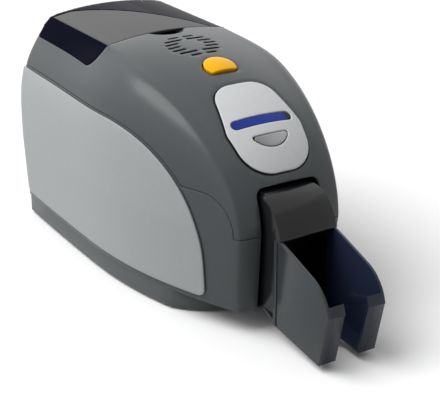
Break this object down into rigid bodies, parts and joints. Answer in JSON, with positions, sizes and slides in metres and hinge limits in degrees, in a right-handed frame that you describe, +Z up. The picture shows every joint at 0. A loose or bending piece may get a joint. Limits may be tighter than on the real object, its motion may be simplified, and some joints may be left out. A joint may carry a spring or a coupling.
{
  "type": "id card printer",
  "caption": "Desktop printer for plastic identity cards: dark hinged cover, silver side panels, smoked feeder lid, front output hopper.",
  "frame": {"origin": "on the table under the middle of the bounding box", "axes": "+X to the viewer's right seen from the front, -Y towards the output hopper, +Z up"},
  "size_m": [0.214, 0.4763, 0.2315],
  "materials": {
    "body_grey": "satin",
    "panel_silver": "satin",
    "bezel_silver": "satin",
    "display_blue": "gloss",
    "yellow_plastic": "gloss",
    "smoked_plastic": "gloss",
    "hood_black": "gloss",
    "plate_grey": "satin",
    "dark_plastic": "matte",
    "black_plastic": "satin",
    "white_plastic": "satin",
    "rubber": "matte",
    "blue_rubber": "satin",
    "steel": "satin",
    "chrome": "polished",
    "aluminium": "satin",
    "board_green": "satin",
    "ribbon": "gloss"
  },
  "bodies": {
    "base": {"base_pan": "dark_plastic", "rubber_feet": "rubber", "base_screws": "chrome", "main_housing": "body_grey", "side_panel_left": "panel_silver", "side_panel_right": "panel_silver", "chassis_left": "steel", "chassis_right": "steel", "card_deck": "dark_plastic", "feeder_tray": "dark_plastic", "transport_belt": "rubber", "motor_belt": "rubber", "drive_motor": "steel", "main_board": "board_green", "power_inlet": "black_plastic", "usb_port": "steel", "network_port": "steel", "cover_hinge_lower": "steel", "cover_hinge_pins": "chrome", "switch_body": "black_plastic", "ribbon_film": "ribbon", "output_bin": "smoked_plastic", "exit_hood": "hood_black"},
    "cover": {"top_cover": "body_grey", "display_bezel": "bezel_silver", "display_window": "display_blue", "cover_frame": "dark_plastic", "printhead": "aluminium", "fan_frame": "black_plastic", "feeder_deck": "dark_plastic", "cover_hinge_upper": "steel", "feeder_hinge_lower": "steel", "feeder_hinge_pins": "chrome"},
    "feeder_lid": {"feeder_cover": "smoked_plastic", "feeder_plate": "plate_grey", "feeder_hinge_upper": "steel"},
    "fan": {"fan_rotor": "black_plastic"},
    "latch": {"cover_latch": "dark_plastic"},
    "release": {"release_button": "yellow_plastic"},
    "panel_key": {"panel_button": "bezel_silver"},
    "rocker": {"power_switch": "black_plastic"},
    "motor_rotor": {"motor_pulley": "aluminium"},
    "feed_roller": {"feed_shaft": "steel", "feed_sleeve": "rubber"},
    "transport_roller": {"transport_shaft": "steel", "transport_sleeve": "rubber"},
    "platen_roller": {"platen_shaft": "steel", "platen_sleeve": "rubber"},
    "exit_roller": {"exit_shaft": "steel", "exit_sleeve": "rubber"},
    "cleaning_roller": {"cleaning_shaft": "steel", "cleaning_sleeve": "blue_rubber"},
    "supply": {"supply_spool": "white_plastic", "supply_roll": "ribbon"},
    "takeup": {"takeup_spool": "white_plastic", "takeup_roll": "ribbon"}
  },
  "joints": [
    {"name": "cover_hinge", "type": "hinge", "parent": "base", "child": "cover", "pos_m": [0, 0.23505, 0.17455], "axis": [-1, 0, 0], "range_deg": [0, 75]},
    {"name": "feeder_hinge", "type": "hinge", "parent": "cover", "child": "feeder_lid", "pos_m": [0, 0.23426, 0.20405], "axis": [-1, 0, 0], "range_deg": [0, 95]},
    {"name": "fan_spin", "type": "hinge", "parent": "cover", "child": "fan", "pos_m": [0, 0.04075, 0.22898], "axis": [0, -0.1042, 0.9946], "continuous": true},
    {"name": "release_press", "type": "slide", "parent": "cover", "child": "release", "axis": [0, 0.2177, -0.976], "range_m": [0, 0.003], "stiffness_N_per_m": 900},
    {"name": "latch_turn", "type": "hinge", "parent": "cover", "child": "latch", "pos_m": [0, -0.014, 0.196], "axis": [-1, 0, 0], "range_deg": [0, 10.2]},
    {"name": "panel_press", "type": "slide", "parent": "cover", "child": "panel_key", "axis": [0, 0.5695, -0.822], "range_m": [0, 0.001], "stiffness_N_per_m": 900},
    {"name": "rocker_turn", "type": "hinge", "parent": "base", "child": "rocker", "pos_m": [-0.066, 0.2275, 0.041], "axis": [1, 0, 0], "range_deg": [0, 9]},
    {"name": "transport_spin", "type": "hinge", "parent": "base", "child": "transport_roller", "pos_m": [0, 0.1, 0.112], "axis": [1, 0, 0], "continuous": true},
    {"name": "motor_spin", "type": "hinge", "parent": "base", "child": "motor_rotor", "pos_m": [0, 0.062, 0.062], "axis": [1, 0, 0], "continuous": true},
    {"name": "feed_spin", "type": "hinge", "parent": "base", "child": "feed_roller", "pos_m": [0, 0.176, 0.112], "axis": [1, 0, 0], "continuous": true},
    {"name": "platen_spin", "type": "hinge", "parent": "base", "child": "platen_roller", "pos_m": [0, 0.02, 0.112], "axis": [1, 0, 0], "continuous": true},
    {"name": "exit_spin", "type": "hinge", "parent": "base", "child": "exit_roller", "pos_m": [0, -0.072, 0.112], "axis": [1, 0, 0], "continuous": true},
    {"name": "cleaning_spin", "type": "hinge", "parent": "base", "child": "cleaning_roller", "pos_m": [0, 0.1, 0.1278], "axis": [1, 0, 0], "continuous": true},
    {"name": "supply_spin", "type": "hinge", "parent": "base", "child": "supply", "pos_m": [0, 0.062, 0.152], "axis": [1, 0, 0], "continuous": true},
    {"name": "takeup_spin", "type": "hinge", "parent": "base", "child": "takeup", "pos_m": [0, -0.032, 0.152], "axis": [1, 0, 0], "continuous": true}
  ],
  "couplings": [
    {"joint": "latch_turn", "follows": "release_press", "rad_per_m": 58.8},
    {"joint": "motor_spin", "follows": "transport_spin", "ratio": 2.4},
    {"joint": "feed_spin", "follows": "transport_spin", "ratio": 1},
    {"joint": "platen_spin", "follows": "transport_spin", "ratio": 1},
    {"joint": "exit_spin", "follows": "transport_spin", "ratio": 1},
    {"joint": "cleaning_spin", "follows": "transport_spin", "ratio": -1.1429},
    {"joint": "takeup_spin", "follows": "supply_spin", "ratio": 1.6}
  ]
}
